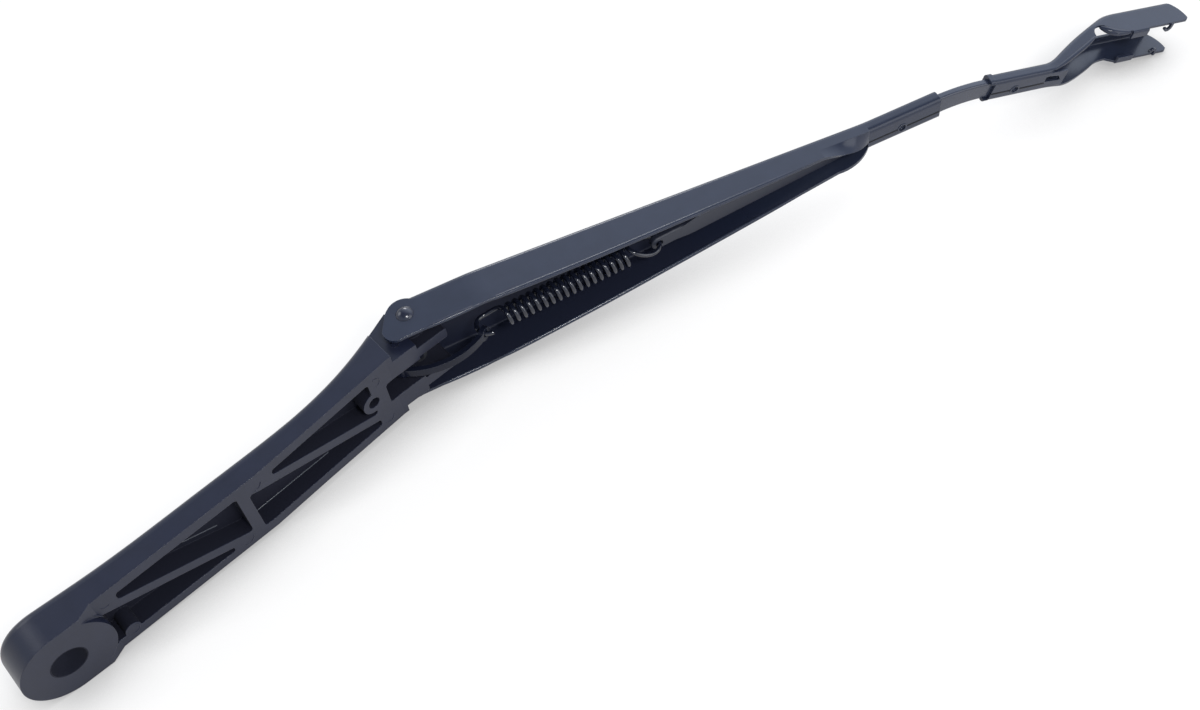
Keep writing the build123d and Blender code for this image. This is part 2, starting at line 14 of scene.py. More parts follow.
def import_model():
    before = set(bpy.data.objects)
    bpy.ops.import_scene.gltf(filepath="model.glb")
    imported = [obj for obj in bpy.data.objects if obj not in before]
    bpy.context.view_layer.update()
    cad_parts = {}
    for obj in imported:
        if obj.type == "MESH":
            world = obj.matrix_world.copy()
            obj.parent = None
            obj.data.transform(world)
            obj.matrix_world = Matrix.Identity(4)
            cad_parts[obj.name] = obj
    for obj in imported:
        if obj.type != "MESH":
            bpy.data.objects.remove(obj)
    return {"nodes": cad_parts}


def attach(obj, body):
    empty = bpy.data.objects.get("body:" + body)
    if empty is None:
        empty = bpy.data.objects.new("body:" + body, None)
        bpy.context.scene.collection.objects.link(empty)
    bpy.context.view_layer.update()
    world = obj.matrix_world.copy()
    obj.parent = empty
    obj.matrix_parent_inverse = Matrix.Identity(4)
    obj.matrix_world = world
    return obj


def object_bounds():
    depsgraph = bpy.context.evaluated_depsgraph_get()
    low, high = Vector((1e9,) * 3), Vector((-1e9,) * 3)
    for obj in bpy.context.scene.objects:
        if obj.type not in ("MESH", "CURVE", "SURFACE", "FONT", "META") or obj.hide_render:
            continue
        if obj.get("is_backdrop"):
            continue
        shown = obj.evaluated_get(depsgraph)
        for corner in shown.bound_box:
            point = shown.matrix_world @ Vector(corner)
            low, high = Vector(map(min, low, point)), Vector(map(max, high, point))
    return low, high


LOG = logging.getLogger("wiper_arm")
MM = 0.001
FLOOR_GAP = 0.0001

Colour = tuple[float, float, float]
Point = tuple[float, float, float]
Pair = tuple[float, float]
Socket = bpy.types.NodeSocket
Inputs = dict[str | int, object]

CENTRE: Point = (0.0, 0.0, 0.0)
WHITE: Colour = (1.0, 1.0, 1.0)


class Grain(Enum):
    """Fine texture under a coat, as the number of its grains per metre."""

    CAST = 1500.0
    ROLLED = 900.0
    DRAWN = 2600.0
    MOULDED = 1400.0


class Op(Enum):
    """Ways in which a node combines two numbers."""

    ADD = "ADD"
    SUBTRACT = "SUBTRACT"
    MULTIPLY = "MULTIPLY"
    LARGER = "MAXIMUM"


class Blend(Enum):
    """Ways in which a node passes from one number to another."""

    STRAIGHT = "LINEAR"
    SOFT = "SMOOTHSTEP"


class Space(Enum):
    """Coordinates of a point on a piece or of a direction in the room."""

    PIECE = "Object"
    ROOM = "Generated"


class Way(Enum):
    """Directions of a sub-assembly's axes, by their number."""

    ALONG = 0
    UP = 1
    ACROSS = 2


class Side(Enum):
    """Sides of the arm across its length, by their sign."""

    UPPER = 1.0
    LOWER = -1.0

    @property
    def word(self) -> str:
        """Word for the side in the names of pieces."""
        return self.name.lower()


@dataclass(frozen=True)
class Axes:
    """Axes of the arm's sub-assemblies in the shared frame, in millimetres and degrees.

    Attributes:
        lay: Turn of the whole arm as it lies on the floor.
        hinge: Hinge axis in the head's x and y.
        arm: Turn of the channel against the head.
        crimp_end: End of the crimp along the channel.
        bar: Height of the bar's middle in the crimp.
        bend: Length of the bar's bend.
        yaw: Edgewise turn over the bend.
        pitch: Flatwise turn over the bend.
        twist: Twist over the bend.
    """

    lay: float = 2.11
    hinge: Pair = (152.0, 19.8)
    arm: float = -15.195
    crimp_end: float = 218.8
    bar: float = 3.6
    bend: float = 22.0
    yaw: float = 13.3
    pitch: float = -2.4
    twist: float = 6.1

    def head_axes(self) -> Matrix:
        """Matrix from the head's axes to the shared frame."""
        return Matrix.Rotation(math.radians(-self.lay), 4, "Y")

    def channel_axes(self) -> Matrix:
        """Matrix from the channel's axes to the shared frame."""
        at = Matrix.Translation((*self.hinge, 0.0))
        return self.head_axes() @ at @ Matrix.Rotation(math.radians(self.arm), 4, "Z")

    def fork_axes(self) -> Matrix:
        """Place of the fork's axes, at the end of the bar's bend.

        Returns:
            The matrix from the fork's axes to the shared frame.
        """
        yaw = math.radians(self.yaw)
        radius = self.bend / yaw
        along = self.crimp_end + radius * math.sin(yaw)
        rise = self.bar + self.bend * math.radians(self.pitch) / 2
        at = Matrix.Translation((along, rise, -radius * (1 - math.cos(yaw))))
        turn = Matrix.Rotation(yaw, 4, "Y") @ Matrix.Rotation(math.radians(self.pitch), 4, "Z")
        twist = Matrix.Rotation(math.radians(self.twist), 4, "X")
        return self.channel_axes() @ at @ turn @ twist


@dataclass(frozen=True)
class Graph:
    """Node tree of a finish, with the few kinds of node that the finishes use.

    Attributes:
        tree: The node tree.
    """

    tree: bpy.types.NodeTree

    def add(self, kind: str, inputs: Inputs | None = None, **options: object) -> bpy.types.Node:
        """Add a node.

        Args:
            kind: Type of the node, without the word that all types begin with.
            inputs: Value or socket for each input, by name or number.
            **options: Properties of the node.

        Returns:
            The node.
        """
        node = self.tree.nodes.new(f"ShaderNode{kind}")
        for name, value in options.items():
            setattr(node, name, value)
        self.feed(node, inputs or {})
        return node

    def feed(self, node: bpy.types.Node, inputs: Inputs) -> None:
        """Set or link inputs of a node.

        Args:
            node: The node.
            inputs: Value or socket for each input, by name or number.
        """
        for key, value in inputs.items():
            if isinstance(value, bpy.types.NodeSocket):
                self.tree.links.new(value, node.inputs[key])
            else:
                node.inputs[key].default_value = value

    def place(self, space: Space = Space.PIECE) -> Socket:
        """Socket with the coordinates of one kind."""
        node = self.tree.nodes.get("Texture Coordinate") or self.add("TexCoord")
        return node.outputs[space.value]

    def sum(self, op: Op, one: Socket, two: Socket | float) -> Socket:
        """Socket with two numbers combined."""
        return self.add("Math", {0: one, 1: two}, operation=op.value).outputs["Value"]

    def dot(self, one: Socket, two: Socket | Point) -> Socket:
        """Socket with the dot product of two directions."""
        return self.add("VectorMath", {0: one, 1: two}, operation="DOT_PRODUCT").outputs["Value"]

    def ramp(
        self, value: Socket, start: Pair, end: Pair, blend: Blend = Blend.STRAIGHT
    ) -> Socket:
        """Map a number between two ends and hold it beyond them.

        Args:
            value: Socket with the number.
            start: Number and result at the start.
            end: Number and result at the end.
            blend: Way from one to the other.

        Returns:
            The socket with the result.
        """
        inputs = {"Value": value, "From Min": start[0], "From Max": end[0]}
        inputs |= {"To Min": start[1], "To Max": end[1]}
        return self.add("MapRange", inputs, interpolation_type=blend.value).outputs["Result"]

    def noise(self, scale: float, octaves: float) -> Socket:
        """Socket with a noise on the piece, of a number of patches per metre."""
        inputs = {"Vector": self.place(), "Scale": scale, "Detail": octaves}
        return self.add("TexNoise", inputs).outputs["Fac"]

    def mix(self, share: Socket, one: Socket | Colour, two: Socket | Colour) -> Socket:
        """Mix two colours.

        Args:
            share: Share of the second colour.
            one: First colour.
            two: Second colour.

        Returns:
            The socket with the colour.
        """
        inputs: Inputs = {"Factor": share}
        for key, tone in (("A", one), ("B", two)):
            inputs[key] = (*tone, 1.0) if isinstance(tone, tuple) else tone
        return self.add("Mix", inputs, data_type="RGBA").outputs["Result"]

    def rays(self, *kinds: str) -> Socket:
        """Mask of some kinds of ray.

        Args:
            *kinds: Names of the kinds.

        Returns:
            The socket with 1 for a ray of any of these kinds and 0 for another.
        """
        path = self.add("LightPath")
        first, *others = (path.outputs[kind] for kind in kinds)
        for other in others:
            first = self.sum(Op.LARGER, first, other)
        return first

    def surface(self, share: Socket, one: Socket, two: Socket) -> None:
        """Mix two shaders and make them the surface.

        Args:
            share: Share of the second shader.
            one: First shader.
            two: Second shader.
        """
        mix = self.add("MixShader", {"Fac": share, 1: one, 2: two})
        output = next(node for node in self.tree.nodes if node.name.endswith("Output"))
        self.feed(output, {"Surface": mix.outputs["Shader"]})


@dataclass(frozen=True)
class Coat:
    """Dark coat on one kind of metal or plastic.

    Attributes:
        name: Material name.
        colour: Linear colour of the coat.
        edge_wear_highlight: Linear colour on edges, partly real rubbing and partly a painted
            highlight.
        roughness: Middle of the roughness range.
        spread: Half of the roughness range.
        specular: Strength of the reflection.
        grain: Kind of fine texture.
        relief: Height of that texture in metres.
        edge: Radius in metres over which sharp edges catch the light.
        edge_wear_highlight_share: Share of that edge colour on edges.
        mottle: Patches of colour per metre and their octaves.
        tones: Shares of the colour in the darkest and the lightest patch.
        patches: Patches of roughness per metre and their octaves.
        octaves: Octaves of the fine texture.
        strength: Strength of the fine texture.
        corner: Cosines of the turn at which an edge starts to take that colour and takes it fully.
        samples: Samples that find an edge.
    """

    name: str
    colour: Colour
    edge_wear_highlight: Colour
    roughness: float
    spread: float
    specular: float
    grain: Grain
    relief: float
    edge: float
    edge_wear_highlight_share: float
    mottle: Pair = (140.0, 4.0)
    tones: Pair = (0.8, 1.2)
    patches: Pair = (60.0, 3.0)
    octaves: float = 2.0
    strength: float = 0.3
    corner: Pair = (0.98, 0.75)
    samples: int = 6

    def make(self) -> bpy.types.Material:
        """Build the node material, or find it if it is there already.

        Returns:
            The material.
        """
        known = bpy.data.materials.get(self.name)
        if known is not None:
            return known
        material = bpy.data.materials.new(self.name)
        material.use_nodes = True
        graph = Graph(material.node_tree)
        bevel = graph.add("Bevel", {"Radius": self.edge}, samples=self.samples)
        rounded = bevel.outputs["Normal"]
        looks: Inputs = {
            "Specular IOR Level": self.specular,
            "Base Color": self._wear_and_highlight(graph, self._tone(graph), rounded),
            "Roughness": self._sheen(graph),
            "Normal": self._relief(graph, rounded),
        }
        graph.feed(graph.tree.nodes["Principled BSDF"], looks)
        return material

    def _tone(self, graph: Graph) -> Socket:
        """Socket with the coat's colour, mottled."""
        dark, light = (tuple(part * tone for part in self.colour) for tone in self.tones)
        return graph.mix(graph.noise(*self.mottle), dark, light)

    def _sheen(self, graph: Graph) -> Socket:
        """Socket with the roughness, in soft patches."""
        low, high = self.roughness - self.spread, self.roughness + self.spread
        return graph.ramp(graph.noise(*self.patches), (0.0, low), (1.0, high))

    def _wear_and_highlight(self, graph: Graph, tone: Socket, rounded: Socket) -> Socket:
        """Lighten the colour on edges: partly real rubbing, partly a painted highlight.

        Args:
            graph: Graph to add to.
            tone: Socket with the colour of the whole coat.
            rounded: Socket with the normals of rounded edges.

        Returns:
            The socket with the colour.
        """
        flat = graph.add("NewGeometry").outputs["Normal"]
        start, end = self.corner
        share = graph.ramp(graph.dot(rounded, flat), (start, 0.0), (end, self.edge_wear_highlight_share))
        return graph.mix(share, tone, self.edge_wear_highlight)

    def _relief(self, graph: Graph, rounded: Socket) -> Socket:
        """Add the grain to the rounded edges.

        Args:
            graph: Graph to add to.
            rounded: Socket with the normals of rounded edges.

        Returns:
            The socket with the normals.
        """
        height = graph.noise(self.grain.value, self.octaves)
        inputs = {"Strength": self.strength, "Distance": self.relief}
        inputs |= {"Height": height, "Normal": rounded}
        return graph.add("Bump", inputs).outputs["Normal"]


@dataclass(frozen=True)
class RecessCoat(Coat):
    """Coat with painted shade in its recesses: darker colour there, and duller.

    Attributes:
        recess_shade: Linear colour of the painted shade in the recesses.
        dull: Roughness in the recesses.
        axes: Axes of the sub-assemblies.
    """

    recess_shade: Colour = (0.003, 0.0038, 0.011)
    dull: float = 0.9
    axes: Axes = Axes()

    def _painted_shade_mask(self, graph: Graph) -> Socket:
        """Socket with 1 where the painted shade lies and 0 elsewhere; each kind of part has its
        own.
        """
        raise NotImplementedError

    @staticmethod
    def _coordinate(graph: Graph, axes: Matrix, way: Way) -> Socket:
        """Coordinate in a sub-assembly's axes.

        Args:
            graph: Graph to add to.
            axes: Axes of the sub-assembly.
            way: Direction of the coordinate.

        Returns:
            The socket with the coordinate in metres.
        """
        axis = axes.to_3x3().col[way.value]
        shift = axis.dot(axes.translation) * MM
        return graph.sum(Op.SUBTRACT, graph.dot(graph.place(), tuple(axis)), shift)

    def _aside(self, graph: Graph, axes: Matrix) -> Socket:
        """Socket with the distance from a sub-assembly's middle plane, in metres."""
        across = self._coordinate(graph, axes, Way.ACROSS)
        return graph.sum(Op.LARGER, across, graph.sum(Op.MULTIPLY, across, -1.0))

    def _tone(self, graph: Graph) -> Socket:
        """Socket with the mottled colour, with painted shade in the recesses."""
        # Mixes in the colour of the painted shade where the mask is 1.
        return graph.mix(self._painted_shade_mask(graph), super()._tone(graph), self.recess_shade)

    def _sheen(self, graph: Graph) -> Socket:
        """Socket with the roughness, duller in the recesses."""
        dull = graph.sum(Op.MULTIPLY, self._painted_shade_mask(graph), self.dull)
        return graph.sum(Op.LARGER, super()._sheen(graph), dull)


@dataclass(frozen=True)
class CastCoat(RecessCoat):
    """Coat of the casting, with painted shade and duller in its bore and pockets.

    Attributes:
        bore: Radius of the bore in metres.
        rim: Share of the bore's area at which its painted shade and dull part have faded out.
        boss: Distance from the bore beyond which the pockets begin, in metres.
        inner: Half width of the ribbed side in metres.
        rails: Height of the rails over the boss face as x and y, in metres.
        depth: First and last depth below the rails that takes the painted shade and is dull, in
            metres.
    """

    bore: float = 0.0063
    rim: float = 1.08
    boss: float = 0.0145
    inner: float = 0.0124
    rails: tuple[Pair, ...] = ((0.0152, 0.0024), (0.0776, 0.0041), (0.136, 0.0096))
    depth: Pair = (0.0004, 0.0095)

    def _painted_shade_mask(self, graph: Graph) -> Socket:
        """Mask of the painted shade in the bore and the pockets.

        Args:
            graph: Graph to add to.

        Returns:
            The socket with 1 in a recess and 0 elsewhere.
        """
        axes = self.axes.head_axes()
        x = self._coordinate(graph, axes, Way.ALONG)
        y = self._coordinate(graph, axes, Way.UP)
        aside = self._aside(graph, axes)
        one, two, three = self.rails
        near = graph.ramp(x, one, two)
        far = graph.ramp(x, (two[0], 0.0), (three[0], three[1] - two[1]))
        below = graph.sum(Op.SUBTRACT, y, graph.sum(Op.ADD, near, far))
        first, last = self.depth
        pockets = graph.ramp(below, (first / 2, 0.0), (first, 1.0))
        for limit in (
            graph.ramp(below, (last, 1.0), (last + first, 0.0)),
            graph.ramp(aside, (self.inner, 1.0), (self.inner + first, 0.0)),
            graph.ramp(x, (self.boss, 0.0), (self.boss + first, 1.0)),
        ):
            pockets = graph.sum(Op.MULTIPLY, pockets, limit)
        area = graph.sum(Op.ADD, *(graph.sum(Op.MULTIPLY, leg, leg) for leg in (x, aside)))
        bore = graph.ramp(area, (self.bore**2, 1.0), (self.rim * self.bore**2, 0.0))
        return graph.sum(Op.LARGER, pockets, bore)


@dataclass(frozen=True)
class BarCoat(RecessCoat):
    """Coat of the flat bar, with painted shade and duller where the channel covers it.

    Attributes:
        covered: Places along the channel between which the painted shade and dull part end, in
            metres.
    """

    # Colour of the painted shade where the channel covers the bar.
    recess_shade: Colour = (0.007, 0.0095, 0.02)
    dull: float = 0.55
    covered: Pair = (0.178, 0.1868)

    def _painted_shade_mask(self, graph: Graph) -> Socket:
        """Mask of the painted shade on the bar's covered part.

        Args:
            graph: Graph to add to.

        Returns:
            The socket with 1 inside the channel and 0 outside.
        """
        x = self._coordinate(graph, self.axes.channel_axes(), Way.ALONG)
        start, end = self.covered
        return graph.ramp(x, (start, 1.0), (end, 0.0))


@dataclass(frozen=True)
class ChannelCoat(RecessCoat):
    """Coat of the folded channel, with painted shade and duller between its walls.

    Attributes:
        web: Height over the hinge axis at which the painted shade inside ends, in metres.
        inner: Half width between the walls at the hinge, in metres.
        taper: Places along the channel between which the walls close in, in metres.
        narrow: Half width between the walls at the end of that taper, in metres.
        crimp: Places along the channel between which the painted shade inside ends, in metres.
        edge_fade: Width of the mask's edge, in metres.
    """

    # Colour of the painted shade between the walls.
    recess_shade: Colour = (0.005, 0.0072, 0.019)
    dull: float = 0.6
    web: float = 0.0055
    inner: float = 0.0168
    taper: Pair = (0.026, 0.176)
    narrow: float = 0.005
    crimp: Pair = (0.1, 0.16)
    edge_fade: float = 0.0004

    def _painted_shade_mask(self, graph: Graph) -> Socket:
        """Mask of the painted shade on the channel's inside.

        Args:
            graph: Graph to add to.

        Returns:
            The socket with 1 between the walls and 0 outside.
        """
        axes = self.axes.channel_axes()
        x = self._coordinate(graph, axes, Way.ALONG)
        y = self._coordinate(graph, axes, Way.UP)
        start, end = self.taper
        half = graph.ramp(x, (start, self.inner), (end, self.narrow))
        gap = graph.sum(Op.SUBTRACT, self._aside(graph, axes), half)
        inside = graph.ramp(gap, (0.0, 1.0), (self.edge_fade, 0.0))
        first, last = self.crimp
        for limit in (
            graph.ramp(y, (self.web, 1.0), (self.web + self.edge_fade, 0.0)),
            graph.ramp(x, (first, 1.0), (last, 0.0)),
        ):
            inside = graph.sum(Op.MULTIPLY, inside, limit)
        return inside


NAVY: Colour = (0.0105, 0.0128, 0.026)
SHEET_NAVY: Colour = (0.0165, 0.021, 0.037)
DEEP_NAVY: Colour = (0.006, 0.0075, 0.015)
# Black of the strips of painted shade along the seams.
SEAM_SHADE_BLACK: Colour = (0.002, 0.0024, 0.005)
# Lighter tone of the flow lines: a painted highlight along them.
FLOW_LINE_HIGHLIGHT_TONE: Colour = (0.05, 0.055, 0.066)
# Edge colour of the coats: partly real rubbing, partly a painted highlight.
RUBBED_AND_HIGHLIGHT: Colour = (0.085, 0.092, 0.112)
DARK_PLASTIC: Colour = (0.014, 0.015, 0.02)
CAST_COAT = CastCoat(
    "cast_coat", NAVY, RUBBED_AND_HIGHLIGHT, roughness=0.34, spread=0.05, specular=0.3,
    grain=Grain.CAST, relief=0.00003, edge=0.0003, edge_wear_highlight_share=0.3,
)
# Coat of the flow lines, lighter as a painted highlight.
FLOW_LINE_HIGHLIGHT_COAT = Coat(
    "flow_line_painted_highlight", FLOW_LINE_HIGHLIGHT_TONE, RUBBED_AND_HIGHLIGHT, roughness=0.3, spread=0.04, specular=0.4,
    grain=Grain.CAST, relief=0.00001, edge=0.0001, edge_wear_highlight_share=0.2,
)
SHEET_LOOKS: dict[str, object] = dict(
    colour=SHEET_NAVY, edge_wear_highlight=RUBBED_AND_HIGHLIGHT, roughness=0.22, spread=0.03, specular=0.32,
    grain=Grain.ROLLED, relief=0.00002, edge=0.0003, edge_wear_highlight_share=0.6,
)
SHEET_COAT = Coat("sheet_coat", **SHEET_LOOKS)
CHANNEL_COAT = ChannelCoat("channel_coat", **SHEET_LOOKS)
BAR_COAT = BarCoat(
    "bar_coat", SHEET_NAVY, RUBBED_AND_HIGHLIGHT, roughness=0.26, spread=0.04, specular=0.58,
    grain=Grain.ROLLED, relief=0.00002, edge=0.0003, edge_wear_highlight_share=0.4,
)
# Coat of the dark strips of painted shade in the seams.
SEAM_SHADE_COAT = Coat(
    "seam_painted_shade", SEAM_SHADE_BLACK, SEAM_SHADE_BLACK, roughness=0.6, spread=0.05, specular=0.2,
    grain=Grain.ROLLED, relief=0.00001, edge=0.0001, edge_wear_highlight_share=0.0,
)
WIRE_COAT = Coat(
    "wire_coat", DEEP_NAVY, RUBBED_AND_HIGHLIGHT, roughness=0.13, spread=0.02, specular=0.6,
    grain=Grain.DRAWN, relief=0.00001, edge=0.0002, edge_wear_highlight_share=0.2,
)
LINK_COAT = Coat(
    "link_coat", DEEP_NAVY, RUBBED_AND_HIGHLIGHT, roughness=0.2, spread=0.03, specular=0.12,
    grain=Grain.ROLLED, relief=0.00001, edge=0.0002, edge_wear_highlight_share=0.7,
)
RIVET_COAT = Coat(
    "rivet_coat", NAVY, RUBBED_AND_HIGHLIGHT, roughness=0.22, spread=0.03, specular=0.5,
    grain=Grain.DRAWN, relief=0.00001, edge=0.0003, edge_wear_highlight_share=0.5,
)
BUSH_PLASTIC = Coat(
    "bush_plastic", DARK_PLASTIC, NAVY, roughness=0.5, spread=0.05, specular=0.3,
    grain=Grain.MOULDED, relief=0.00003, edge=0.0003, edge_wear_highlight_share=0.2,
)


class Modeller:
    """Shapes primitives into finished pieces with modelling operators, in millimetres.

    Attributes:
        UNDERSIDE: Turn of axes whose z points away from an underside.
        QUARTER: Quarter of a turn.
        SPIN_AXIS: Axis about which a spin turns from x to y.
        MERGE: Distance under which points are merged.
        CREASE: Turn over which an edge stays sharp.
        SEGMENTS: Steps of a rounded edge.
        RING_SIDES: Sides of a collar or a cap.
        CAP_RINGS: Rings of a cap from its foot to its crown.
        ROLL_SIDES: Sides of a roll.
        ROLL_LEVELS: Times that a roll is subdivided.
        RIDGE_ROUND: Share of a ridge's lesser side that is rounded.
        COLLAR_ROUND: Share of a collar's lesser side that is rounded.
        BEAD_SIDES: Sides of a bead's section.
        BEAD_STEP: Degrees of a bead's arc per step.
        BEAD_STEPS: Fewest steps of a part of that arc.
        BEAD_FADE: Share of a bead's arc over which an end fades out.
        BEAD_TIP: Share of a bead's section that is left at its ends.
        BEAD_SWELL: Growth of the section from there to the bead's middle.
    """

    UNDERSIDE = Matrix.Rotation(math.radians(90), 4, "X")
    QUARTER = math.pi / 2
    SPIN_AXIS: Point = (0.0, 0.0, -1.0)
    MERGE = 0.0005
    CREASE = math.radians(40)
    SEGMENTS = 3
    RING_SIDES = 40
    CAP_RINGS = 8
    ROLL_SIDES = 12
    ROLL_LEVELS = 2
    RIDGE_ROUND = 0.45
    COLLAR_ROUND = 0.6
    BEAD_SIDES = 10
    BEAD_STEP = 9
    BEAD_STEPS = 2
    BEAD_FADE = 0.18
    BEAD_TIP = 0.3
    BEAD_SWELL = 3.3

    @staticmethod
    def _edit(add: str, **options: object) -> bpy.types.Object:
        """Add a primitive and open it for editing.

        Args:
            add: Name of the primitive's operator.
            **options: Options of that operator.

        Returns:
            The new object, in edit mode with all selected.
        """
        bpy.ops.object.select_all(action="DESELECT")
        getattr(bpy.ops.mesh, add)(**options)
        bpy.ops.object.mode_set(mode="EDIT")
        bpy.ops.mesh.select_all(action="SELECT")
        return bpy.context.object

    @classmethod
    def _disc(cls, sides: int, radius: float) -> bpy.types.Object:
        """Add a filled circle and open it for editing."""
        options = {"vertices": sides, "radius": radius, "fill_type": "NGON"}
        return cls._edit("primitive_circle_add", **options)

    @staticmethod
    def _turn(angle: float, axis: str, centre: Point | Vector = CENTRE) -> None:
        """Turn what is selected; with no window the operator turns the other way."""
        bpy.ops.transform.rotate(value=-angle, orient_axis=axis, center_override=centre)

    @classmethod
    def _settle(cls, piece: bpy.types.Object, name: str, place: Matrix) -> bpy.types.Object:
        """Close the edit, turn the faces outwards and put the piece in its place.

        Args:
            piece: Object in edit mode.
            name: Name of the finished piece.
            place: Matrix from the piece's axes to the shared frame, in millimetres.

        Returns:
            The finished piece, with its place in its mesh.
        """
        bpy.ops.mesh.select_all(action="SELECT")
        bpy.ops.mesh.remove_doubles(threshold=cls.MERGE)
        bpy.ops.mesh.normals_make_consistent(inside=False)
        bpy.ops.object.mode_set(mode="OBJECT")
        piece.name = name
        piece.data.name = name
        piece.matrix_world = Matrix.Scale(MM, 4) @ place
        bpy.ops.object.transform_apply(location=True, rotation=True, scale=True)
        bpy.ops.object.shade_smooth_by_angle(angle=cls.CREASE)
        return piece

    @classmethod
    def bead(
        cls, name: str, place: Matrix, radius: float, sweep: Pair, width: float, height: float
    ) -> bpy.types.Object:
        """Model a low bead along an arc, fading out at both ends.

        Args:
            name: Name of the piece.
            place: Axes whose z stands up from the surface, with the arc's centre at the origin.
            radius: Radius of the arc.
            sweep: First and last angle of the arc in degrees.
            width: Width of the bead.
            height: Height of the bead over the surface.

        Returns:
            The finished piece.
        """
        first, last = (math.radians(angle) for angle in sweep)
        fade = cls.BEAD_FADE * (last - first)
        piece = cls._disc(cls.BEAD_SIDES, 1.0)
        bpy.ops.transform.resize(value=(cls.BEAD_TIP * width / 2, cls.BEAD_TIP * height, 1.0))
        cls._turn(-cls.QUARTER, "X")
        bpy.ops.transform.translate(value=(radius, 0.0, 0.0))
        cls._turn(first, "Z")
        runs = (
            (fade, cls.BEAD_SWELL),
            (last - first - 2 * fade, 1.0),
            (fade, cls.BEAD_TIP),
        )
        turned = first
        for angle, grow in runs:
            steps = max(cls.BEAD_STEPS, round(math.degrees(angle) / cls.BEAD_STEP))
            bpy.ops.mesh.spin(steps=steps, angle=angle, center=CENTRE, axis=cls.SPIN_AXIS)
            turned += angle
            middle = Matrix.Rotation(turned, 4, "Z") @ Vector((radius, 0.0, 0.0))
            bpy.ops.transform.resize(value=(grow, grow, grow), center_override=middle)
        return cls._settle(piece, name, place)

    @classmethod
    def ridge(
        cls, name: str, place: Matrix, length: float, width: float, height: float
    ) -> bpy.types.Object:
        """Model a straight low ridge along x with rounded edges.

        Args:
            name: Name of the piece.
            place: Axes whose z stands up from the surface, with the ridge's middle at the origin.
            length: Length of the ridge.
            width: Width at its foot.
            height: Height over the surface.

        Returns:
            The finished piece.
        """
        piece = cls._edit("primitive_cube_add", size=1.0)
        bpy.ops.transform.resize(value=(length, width, 2 * height))
        offset = cls.RIDGE_ROUND * min(width, 2 * height)
        bpy.ops.mesh.bevel(offset=offset, segments=cls.SEGMENTS, affect="EDGES")
        return cls._settle(piece, name, place)

    @classmethod
    def collar(
        cls, name: str, place: Matrix, inner: float, outer: float, height: float
    ) -> bpy.types.Object:
        """Model a thin ring with a rounded rim, open in the middle.

        Args:
            name: Name of the piece.
            place: Axes whose z stands up from the surface, with the ring's middle at the origin.
            inner: Inner radius.
            outer: Outer radius.
            height: Height over the surface.

        Returns:
            The finished piece.
        """
        piece = cls._edit("primitive_plane_add", size=1.0)
        bpy.ops.transform.resize(value=(outer - inner, 2 * height, 1.0))
        cls._turn(-cls.QUARTER, "X")
        bpy.ops.transform.translate(value=((inner + outer) / 2, 0.0, 0.0))
        offset = cls.COLLAR_ROUND * min(height, outer - inner)
        bpy.ops.mesh.bevel(offset=offset, segments=cls.SEGMENTS, affect="VERTICES")
        bpy.ops.mesh.select_all(action="SELECT")
        bpy.ops.mesh.delete(type="ONLY_FACE")
        bpy.ops.mesh.select_all(action="SELECT")
        bpy.ops.mesh.spin(
            steps=cls.RING_SIDES, angle=2 * math.pi, center=CENTRE, axis=cls.SPIN_AXIS
        )
        return cls._settle(piece, name, place)

    @classmethod
    def cap(cls, name: str, place: Matrix, radius: float, height: float) -> bpy.types.Object:
        """Model a domed cap.

        Args:
            name: Name of the piece.
            place: Axes whose z stands up from the surface, with the cap's middle at the origin.
            radius: Radius at its foot.
            height: Height over the surface.

        Returns:
            The finished piece.
        """
        sphere = (radius**2 + height**2) / (2 * height)
        span = math.asin(radius / sphere)
        piece = cls._disc(cls.RING_SIDES, radius)
        width, level = radius, 0.0
        for ring in range(1, cls.CAP_RINGS):
            angle = span * (1 - ring / cls.CAP_RINGS)
            rise = height - sphere * (1 - math.cos(angle)) - level
            bpy.ops.mesh.extrude_region_move(TRANSFORM_OT_translate={"value": (0.0, 0.0, rise)})
            level += rise
            grow = sphere * math.sin(angle) / width
            bpy.ops.transform.resize(value=(grow, grow, 1.0), center_override=(0.0, 0.0, level))
            width *= grow
        return cls._settle(piece, name, place)

    @classmethod
    def roll(cls, name: str, place: Matrix, stations: tuple[Point, ...]) -> bpy.types.Object:
        """Model a rounded roll that follows stations in the plane of x and y.

        Args:
            name: Name of the piece.
            place: Axes of the stations.
            stations: Places along the roll, as x, y and radius.

        Returns:
            The finished piece.
        """
        places = [Vector((x, y, 0.0)) for x, y, _ in stations]
        radii = [radius for _, _, radius in stations]
        runs = [after - before for before, after in zip(places, places[1:])]
        headings = [math.atan2(run.y, run.x) for run in runs]
        piece = cls._disc(cls.ROLL_SIDES, radii[0])
        cls._turn(-cls.QUARTER, "Y")
        cls._turn(headings[0], "Z")
        bpy.ops.transform.translate(value=places[0])
        for number, run in enumerate(runs):
            at = places[number + 1]
            bpy.ops.mesh.extrude_region_move(TRANSFORM_OT_translate={"value": run})
            grow = radii[number + 1] / radii[number]
            bpy.ops.transform.resize(value=(grow, grow, grow), center_override=at)
            turn = headings[min(number + 1, len(runs) - 1)] - headings[number]
            cls._turn(turn, "Z", at)
        finished = cls._settle(piece, name, place)
        bpy.ops.object.modifier_add(type="SUBSURF")
        finished.modifiers[-1].levels = cls.ROLL_LEVELS
        bpy.ops.object.modifier_apply(modifier=finished.modifiers[-1].name)
        return finished


